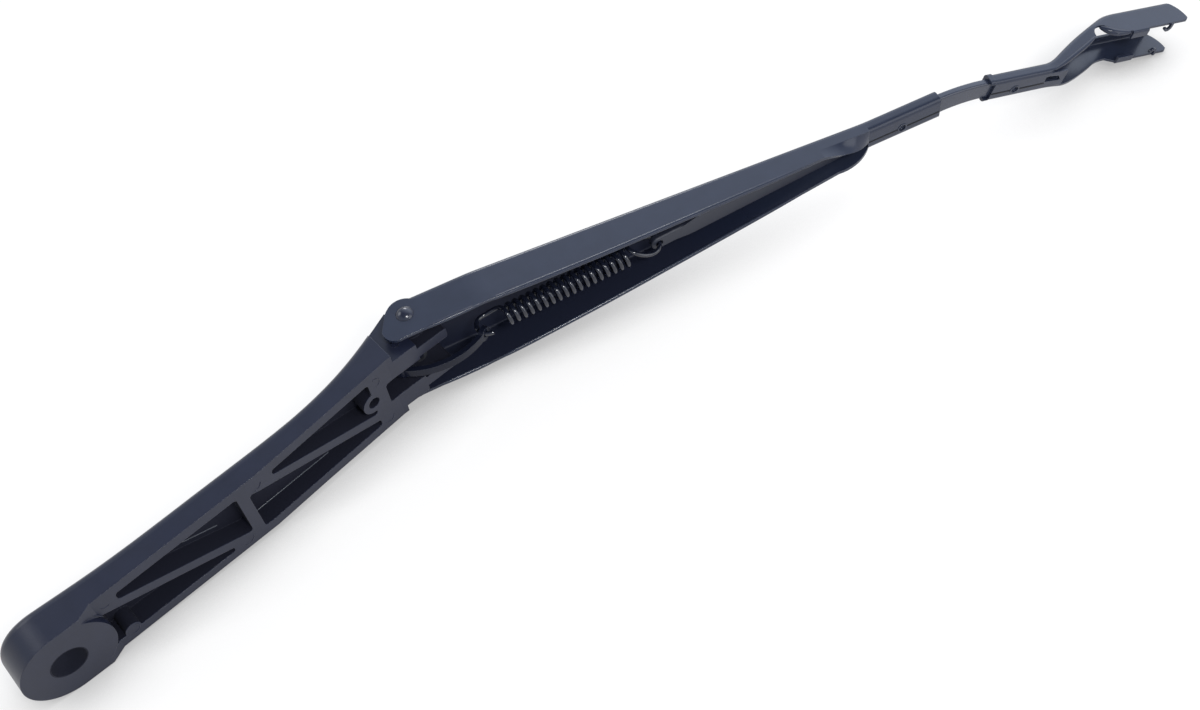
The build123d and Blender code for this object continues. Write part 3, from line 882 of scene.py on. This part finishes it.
@dataclass(frozen=True)
class StakedSeam:
    """Seam under a folded socket, staked with a dimple, with strips of painted shade along it.

    Attributes:
        name: Word for the socket in the names of pieces.
        low: Underside of the socket.
        dimple: Place of the dimple along and across the socket.
        runs: Runs of painted shade along the seam, as their ends along the socket.
        burr: Inner radius, outer radius and height of the burr round the dimple.
        shade_strip: Width and height of a strip of painted shade.
    """

    name: str
    low: float
    dimple: Pair
    runs: tuple[Pair, ...]
    burr: Point = (1.42, 2.1, 0.22)
    shade_strip: Pair = (0.8, 0.06)

    def build(self, axes: Matrix) -> list[tuple[bpy.types.Object, Coat]]:
        """Model the burr and the strips of painted shade.

        Args:
            axes: Axes of the socket.

        Returns:
            The new pieces with their coats.
        """
        along, across = self.dimple
        place = axes @ Matrix.Translation((along, self.low, across)) @ Modeller.UNDERSIDE
        pieces = [(Modeller.collar(f"{self.name}_stake_burr", place, *self.burr), SHEET_COAT)]
        for number, (first, last) in enumerate(self.runs, 1):
            at = Matrix.Translation(((first + last) / 2, self.low, across))
            place = axes @ at @ Modeller.UNDERSIDE
            # Each run is a dark strip of painted shade along the seam.
            name = f"{self.name}_seam_{number}"
            pieces.append((Modeller.ridge(name, place, last - first, *self.shade_strip), SEAM_SHADE_COAT))
        return pieces


@dataclass
class SubAssembly:
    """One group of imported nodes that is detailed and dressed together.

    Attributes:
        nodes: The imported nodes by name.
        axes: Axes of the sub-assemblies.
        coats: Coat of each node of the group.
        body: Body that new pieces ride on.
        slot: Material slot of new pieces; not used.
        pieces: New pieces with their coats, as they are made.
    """

    nodes: dict[str, bpy.types.Object]
    axes: Axes
    coats: dict[str, Coat] = field(default_factory=dict)
    body: str = ""
    slot: str = ""
    pieces: list[tuple[bpy.types.Object, Coat]] = field(default_factory=list)

    def build(self) -> None:
        """Model the group's new pieces; a group without any has nothing to do."""

    def dress(self) -> None:
        """Give every node and piece its coat, and attach every piece to its body."""
        for name, coat in self.coats.items():
            self._cover(self.nodes[name], coat)
        for piece, coat in self.pieces:
            self._cover(piece, coat)
            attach(piece, self.body)

    def _cover(self, part: bpy.types.Object, coat: Coat) -> None:
        """Make a coat the only material of an object, and report it.

        Args:
            part: Node or piece.
            coat: Coat to give it.
        """
        part.data.materials.clear()
        part.data.materials.append(coat.make())
        LOG.info("%s: %s in %s", type(self).__name__, part.name, coat.name)


@dataclass
class HeadCasting(SubAssembly):
    """Cast head with the marks that its mould leaves.

    Attributes:
        underside: Height of the rails over the boss face, as x and y along the head.
        pocket: Height of the pocket floor, as x and y along the head.
        pins: Marks of ejector pins, as x, z, radius and the first and last angle that shows.
        mark: Width and height of such a mark.
        flow: Flow lines on pocket floors, as x and z of both ends.
        flow_ridge: Width and height of a flow line.
        step: Radius and angles of the fine step beside the seat disc.
        step_bead: Width and height of that step.
        step_depth: Depth of that step behind the boss face.
    """

    coats: dict[str, Coat] = field(default_factory=lambda: {"head": CAST_COAT})
    body: str = "head"
    slot: str = "casting"
    underside: tuple[Pair, ...] = (
        (9.9, 0.0), (15.2, 2.4), (77.6, 4.1), (136.0, 9.6), (160.0, 9.6),
    )
    pocket: tuple[Pair, ...] = ((0.0, 10.4), (69.5, 10.4), (104.5, 12.9), (130.5, 17.2))
    pins: tuple[tuple[float, float, float, float, float], ...] = (
        (19.0, 10.8, 2.1, -165.0, -60.0),
        (20.6, -11.2, 2.2, -150.0, 60.0),
        (76.7, 11.4, 2.5, -120.0, -10.0),
        (66.1, -11.5, 2.5, -150.0, 10.0),
        (129.3, 10.5, 2.0, -100.0, 110.0),
        (129.9, -12.0, 2.1, -150.0, 10.0),
    )
    mark: Pair = (0.5, 0.14)
    flow: tuple[tuple[float, float, float, float], ...] = (
        (74.5, -11.3, 106.0, -12.2),
        (48.8, 1.0, 61.0, -3.3),
    )
    flow_ridge: Pair = (0.4, 0.22)
    step: Point = (17.25, 20.0, 39.0)
    step_bead: Pair = (0.6, 0.45)
    step_depth: float = 2.25

    def build(self) -> None:
        """Model the ejector marks, the flow lines and the step beside the disc."""
        for number, (x, z, radius, first, last) in enumerate(self.pins, 1):
            place = self._on(self.underside, x, z)
            name = f"ejector_mark_{number}"
            mark = Modeller.bead(name, place, radius, (first, last), *self.mark)
            self.pieces.append((mark, CAST_COAT))
        for number, (x0, z0, x1, z1) in enumerate(self.flow, 1):
            place = self._on(self.pocket, (x0 + x1) / 2, (z0 + z1) / 2)
            place = place @ Matrix.Rotation(math.atan2(z1 - z0, x1 - x0), 4, "Z")
            length = math.hypot(x1 - x0, z1 - z0)
            line = Modeller.ridge(f"flow_line_{number}", place, length, *self.flow_ridge)
            # The flow lines take the lighter coat, a painted highlight along them.
            self.pieces.append((line, FLOW_LINE_HIGHLIGHT_COAT))
        radius, first, last = self.step
        behind = Matrix.Translation((0.0, 0.0, -self.step_depth))
        place = self._on(self.underside, 0.0, 0.0) @ behind
        step = Modeller.bead("disc_step", place, radius, (first, last), *self.step_bead)
        self.pieces.append((step, CAST_COAT))

    def _on(self, line: tuple[Pair, ...], x: float, z: float) -> Matrix:
        """Axes on a surface of the underside, their z away from it.

        Args:
            line: Height of the surface along the head.
            x: Distance along the head.
            z: Distance across the head.

        Returns:
            The matrix from those axes to the shared frame.
        """
        slope, height = 0.0, line[0][1]
        for (x0, y0), (x1, y1) in zip(line, line[1:]):
            if x0 <= x <= x1:
                slope = math.atan2(y1 - y0, x1 - x0)
                height = y0 + (y1 - y0) * (x - x0) / (x1 - x0)
        at = Matrix.Translation((x, height, z)) @ Matrix.Rotation(slope, 4, "Z")
        return self.axes.head_axes() @ at @ Modeller.UNDERSIDE


@dataclass
class HingeSet(SubAssembly):
    """Rivet and bushes of the hinge, with the peened cap on each end of the rivet.

    Attributes:
        wall: Half width over the channel's walls.
        cap: Radius and height of a cap.
    """

    coats: dict[str, Coat] = field(
        default_factory=lambda: {
            "hinge_rivet": RIVET_COAT,
            "bush_upper": BUSH_PLASTIC,
            "bush_lower": BUSH_PLASTIC,
        }
    )
    body: str = "arm"
    slot: str = "pin"
    wall: float = 18.0
    cap: Pair = (3.2, 1.75)

    def build(self) -> None:
        """Model the cap on each end of the rivet."""
        for side in Side:
            face = Matrix.Translation((0.0, 0.0, side.value * self.wall))
            turn = Matrix.Rotation(0.0 if side is Side.UPPER else math.pi, 4, "X")
            place = self.axes.channel_axes() @ face @ turn
            cap = Modeller.cap(f"rivet_cap_{side.word}", place, *self.cap)
            self.pieces.append((cap, RIVET_COAT))


@dataclass
class SpringLinkage(SubAssembly):
    """Tension spring, link and link pin."""

    coats: dict[str, Coat] = field(
        default_factory=lambda: {"spring": WIRE_COAT, "link": LINK_COAT, "link_pin": RIVET_COAT}
    )


@dataclass
class FoldedChannel(SubAssembly):
    """Folded channel with the rolled edges of its walls and the staked seam of its crimp.

    Attributes:
        seam: Seam under the crimp.
        taper: Place along and across where the walls start to taper.
        taper_turn: Turn of the tapering walls, in degrees.
        lip_near: Stations of a wall's rolled edge at the hinge, as place along, height and radius.
        lip_far: Stations of that edge from where the taper starts.
    """

    coats: dict[str, Coat] = field(default_factory=lambda: {"channel": CHANNEL_COAT})
    body: str = "arm"
    slot: str = "sheet"
    seam: StakedSeam = StakedSeam("crimp", 0.77, (201.9, -1.2), ((187.4, 199.9), (203.9, 218.6)))
    taper: Pair = (26.0, 17.35)
    taper_turn: float = 4.5
    lip_near: tuple[Point, ...] = ((2.0, -8.75, 0.5), (8.0, -8.75, 0.88), (26.6, -8.66, 0.88))
    lip_far: tuple[Point, ...] = (
        (-0.6, -8.66, 0.88),
        (19.1, -8.4, 0.88),
        (34.1, -8.07, 0.88),
        (49.0, -7.65, 0.88),
        (71.6, -6.62, 0.88),
        (94.2, -5.55, 0.88),
        (116.8, -4.42, 0.88),
        (136.0, -3.5, 0.5),
    )

    def build(self) -> None:
        """Model the rolled edges of both walls and the seam under the crimp."""
        axes = self.axes.channel_axes()
        for side in Side:
            near = axes @ Matrix.Translation((0.0, 0.0, side.value * self.taper[1]))
            turn = Matrix.Rotation(side.value * math.radians(self.taper_turn), 4, "Y")
            far = near @ Matrix.Translation((self.taper[0], 0.0, 0.0)) @ turn
            for end, place, stations in (("near", near, self.lip_near), ("far", far, self.lip_far)):
                lip = Modeller.roll(f"{side.word}_lip_{end}", place, stations)
                self.pieces.append((lip, SHEET_COAT))
        self.pieces += self.seam.build(axes)


@dataclass
class FlatBar(SubAssembly):
    """Flat bar between the crimp and the fork."""

    coats: dict[str, Coat] = field(default_factory=lambda: {"bar": BAR_COAT})


@dataclass
class BladeFork(SubAssembly):
    """Folded blade fork with its staked seam and the rolled rims of its notch and neck.

    Attributes:
        seam: Seam under the socket.
        notch: Stations of the rim along the notch, as place along, height and radius.
        notch_h: Distance of that rim from the fork's middle.
        neck: Stations of the rim along the neck, as place along, height and radius.
        neck_at: Place along and across where the neck starts to widen.
        neck_flare: Turn of the neck's side against the fork's middle, in degrees.
    """

    coats: dict[str, Coat] = field(default_factory=lambda: {"fork": SHEET_COAT})
    body: str = "arm"
    slot: str = "sheet"
    seam: StakedSeam = StakedSeam("socket", -2.63, (13.5, -1.2), ((2.5, 11.5), (15.5, 27.6)))
    notch: tuple[Point, ...] = (
        (60.2, 12.0, 0.5),
        (61.9, 10.4, 1.2),
        (63.8, 8.3, 1.55),
        (66.8, 7.0, 1.35),
        (70.0, 6.5, 1.1),
        (73.0, 6.1, 0.6),
    )
    notch_h: float = 8.1
    neck: tuple[Point, ...] = (
        (-1.0, -2.0, 0.4),
        (3.0, -0.9, 0.8),
        (7.5, 0.6, 0.9),
        (13.0, 2.7, 0.95),
        (18.0, 4.5, 0.95),
        (22.0, 6.3, 0.85),
        (24.7, 7.7, 0.55),
    )
    neck_at: Pair = (31.0, 4.8)
    neck_flare: float = 7.6

    def build(self) -> None:
        """Model the seam under the socket and the rims of notch and neck."""
        axes = self.axes.fork_axes()
        self.pieces += self.seam.build(axes)
        beside = axes @ Matrix.Translation((0.0, 0.0, self.notch_h))
        self.pieces.append((Modeller.roll("notch_roll", beside, self.notch), SHEET_COAT))
        at = Matrix.Translation((self.neck_at[0], 0.0, self.neck_at[1]))
        flared = axes @ at @ Matrix.Rotation(-math.radians(self.neck_flare), 4, "Y")
        self.pieces.append((Modeller.roll("neck_roll", flared, self.neck), SHEET_COAT))


@dataclass
class PhotoCamera:
    """Camera that stands where the photograph was taken.

    Attributes:
        place: Position in millimetres.
        forward: Viewing direction.
        down: Direction of the picture's lower edge.
        lens: Focal length in millimetres.
        sensor: Width of the sensor in millimetres.
        nearest: Distance in metres from which things are seen.
    """

    place: Point = (18.78, -265.92, 414.14)
    forward: Point = (0.35151, 0.46930, -0.81006)
    down: Point = (-0.56107, -0.58706, -0.58357)
    lens: float = 43.525
    sensor: float = 36.0
    nearest: float = 0.01

    def build(self) -> None:
        """Add the camera and make it the scene's."""
        data = bpy.data.cameras.new("photo_camera")
        data.sensor_fit = "HORIZONTAL"
        data.sensor_width = self.sensor
        data.lens = self.lens
        data.clip_start = self.nearest
        camera = bpy.data.objects.new("photo_camera", data)
        bpy.context.scene.collection.objects.link(camera)
        back = -Vector(self.forward).normalized()
        up = -Vector(self.down)
        right = up.cross(back).normalized()
        up = back.cross(right)
        turn = Matrix((right, up, back)).transposed().to_4x4()
        camera.matrix_world = Matrix.Translation(Vector(self.place) * MM) @ turn
        bpy.context.scene.camera = camera


@dataclass(frozen=True)
class Lamp:
    """Square soft lamp.

    Attributes:
        name: Lamp name.
        place: Position in metres.
        target: Point that it faces.
        size: Side of the lamp in metres.
        power: Power in watts.
    """

    name: str
    place: Point
    target: Point
    size: float
    power: float

    def build(self) -> None:
        """Add the lamp to the scene."""
        data = bpy.data.lights.new(self.name, "AREA")
        data.size = self.size
        data.energy = self.power
        lamp = bpy.data.objects.new(self.name, data)
        bpy.context.scene.collection.objects.link(lamp)
        lamp.location = self.place
        aim = Vector(self.target) - Vector(self.place)
        lamp.rotation_euler = aim.to_track_quat("-Z", "Y").to_euler()


@dataclass
class Studio:
    """Pale floor, soft lamps, pale walls and a darker ceiling.

    Attributes:
        floor_z: Height of the floor in metres.
        floor_size: Side of the floor in metres.
        floor_middle: Middle of the floor along the arm, in metres.
        floor_colour: Linear colour of the floor.
        floor_roughness: Roughness of the floor.
        floor_specular: Strength of the floor's reflection.
        glow: Share of white, darkened near the arm as a painted contact shadow, that the floor
            shows to camera and reflections.
        contact: Reach in metres of the painted shade beside the arm.
        shade: Strength of that white where the arm stands close, the depth of that painted contact
            shadow.
        shade_range: Openness of the floor at which that shade is full and gone.
        shade_samples: Samples that find the shade.
        wall: Strength of the world near the horizon.
        ceiling: Strength of the world overhead.
        fade: Sines of the heights between which the walls fade into the ceiling.
        tint: Linear colour of the world.
        window: Direction of the brightest part of the world.
        window_strength: Strength that the window adds to the world.
        window_fade: Cosines between which the window fades in.
        backdrop: Sines of the heights between which reflections lose the plain white backdrop.
        lamps: The lamps.
    """

    floor_z: float
    floor_size: float = 12.0
    floor_middle: float = 0.2
    floor_colour: Colour = (0.94, 0.9, 0.86)
    floor_roughness: float = 0.9
    floor_specular: float = 0.1
    glow: float = 0.82
    contact: float = 0.024
    shade: float = 0.42
    shade_range: Pair = (0.4, 0.97)
    shade_samples: int = 12
    wall: float = 0.9
    ceiling: float = 0.3
    fade: Pair = (0.5, 0.85)
    tint: Colour = (0.83, 0.92, 1.08)
    window: Point = (0.7, 0.38, 0.6)
    window_strength: float = 1.5
    window_fade: Pair = (0.62, 1.04)
    backdrop: Pair = (0.05, 0.3)
    lamps: tuple[Lamp, ...] = (
        Lamp("key_lamp", (-0.45, 0.95, 0.75), (0.2, 0.0, 0.0), 0.6, 3.5),
        Lamp("fold_lamp", (0.75, 0.85, 0.45), (0.3, -0.02, 0.0), 0.3, 2.5),
        Lamp("rim_lamp", (0.12, -0.55, 0.74), (0.22, 0.0, 0.0), 0.16, 4.5),
        Lamp("edge_lamp", (0.65, -0.85, 0.5), (0.25, -0.02, 0.0), 0.7, 3.0),
    )

    def build(self) -> None:
        """Add the floor, the lamps and the world."""
        self._floor()
        self._world()
        for lamp in self.lamps:
            lamp.build()

    def _floor(self) -> None:
        """Add the floor as a stage piece that looks white, takes the lamps' shadow in its lit share
        and has a painted contact shadow in its white.
        """
        bpy.ops.object.select_all(action="DESELECT")
        middle = (self.floor_middle, 0.0, self.floor_z)
        bpy.ops.mesh.primitive_plane_add(size=self.floor_size, location=middle)
        floor = bpy.context.object
        floor.name = "studio_floor"
        bpy.ops.object.transform_apply(location=True, rotation=True, scale=True)
        material = bpy.data.materials.new("studio_paper")
        material.use_nodes = True
        graph = Graph(material.node_tree)
        paper = graph.tree.nodes["Principled BSDF"]
        looks: Inputs = {
            "Base Color": (*self.floor_colour, 1.0),
            "Roughness": self.floor_roughness,
            "Specular IOR Level": self.floor_specular,
        }
        graph.feed(paper, looks)
        # Ambient occlusion darkens the white near the arm: a painted contact shadow.
        reach: Inputs = {"Distance": self.contact}
        close = graph.add("AmbientOcclusion", reach, samples=self.shade_samples)
        full, gone = self.shade_range
        shade = graph.ramp(close.outputs["AO"], (full, self.shade), (gone, 1.0))
        white = graph.add("Emission", {"Strength": shade})
        seen = graph.rays("Is Camera Ray", "Is Glossy Ray", "Is Transmission Ray")
        share = graph.sum(Op.MULTIPLY, seen, self.glow)
        graph.surface(share, paper.outputs["BSDF"], white.outputs["Emission"])
        floor.data.materials.append(material)
        floor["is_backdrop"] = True

    def _world(self) -> None:
        """Light the scene from walls, ceiling and window, and show plain white behind it."""
        world = bpy.data.worlds.new("studio_world")
        bpy.context.scene.world = world
        world.use_nodes = True
        graph = Graph(world.node_tree)
        place = graph.place(Space.ROOM)
        height = graph.add("SeparateXYZ", {"Vector": place}).outputs["Z"]
        low, high = self.fade
        walls = graph.ramp(height, (low, self.wall), (high, self.ceiling), Blend.SOFT)
        facing = graph.dot(place, tuple(Vector(self.window).normalized()))
        start, end = self.window_fade
        window = graph.ramp(facing, (start, 0.0), (end, self.window_strength), Blend.SOFT)
        strength = graph.sum(Op.ADD, walls, window)
        room = graph.tree.nodes["Background"]
        graph.feed(room, {"Color": (*self.tint, 1.0), "Strength": strength})
        white = graph.add("Background", {"Color": (*WHITE, 1.0)})
        low, high = self.backdrop
        behind = graph.ramp(height, (low, 1.0), (high, 0.0), Blend.SOFT)
        mirrored = graph.rays("Is Glossy Ray", "Is Transmission Ray")
        mirrored = graph.sum(Op.MULTIPLY, mirrored, behind)
        seen = graph.sum(Op.LARGER, graph.rays("Is Camera Ray"), mirrored)
        graph.surface(seen, room.outputs["Background"], white.outputs["Background"])


def main() -> None:
    """Build the dressed arm, the studio and the camera."""
    logging.basicConfig(level=logging.INFO, format="%(name)s: %(message)s")
    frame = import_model()
    packed = [list(corner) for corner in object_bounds()]
    axes = Axes()
    nodes = frame["nodes"]
    groups: list[SubAssembly] = [
        HeadCasting(nodes, axes),
        HingeSet(nodes, axes),
        SpringLinkage(nodes, axes),
        FoldedChannel(nodes, axes),
        FlatBar(nodes, axes),
        BladeFork(nodes, axes),
    ]
    for group in groups:
        group.build()
        group.dress()
    Studio(floor_z=packed[0][2] - FLOOR_GAP).build()
    PhotoCamera().build()
    bpy.context.scene.view_settings.view_transform = "Standard"


if __name__ == "__main__":
    main()
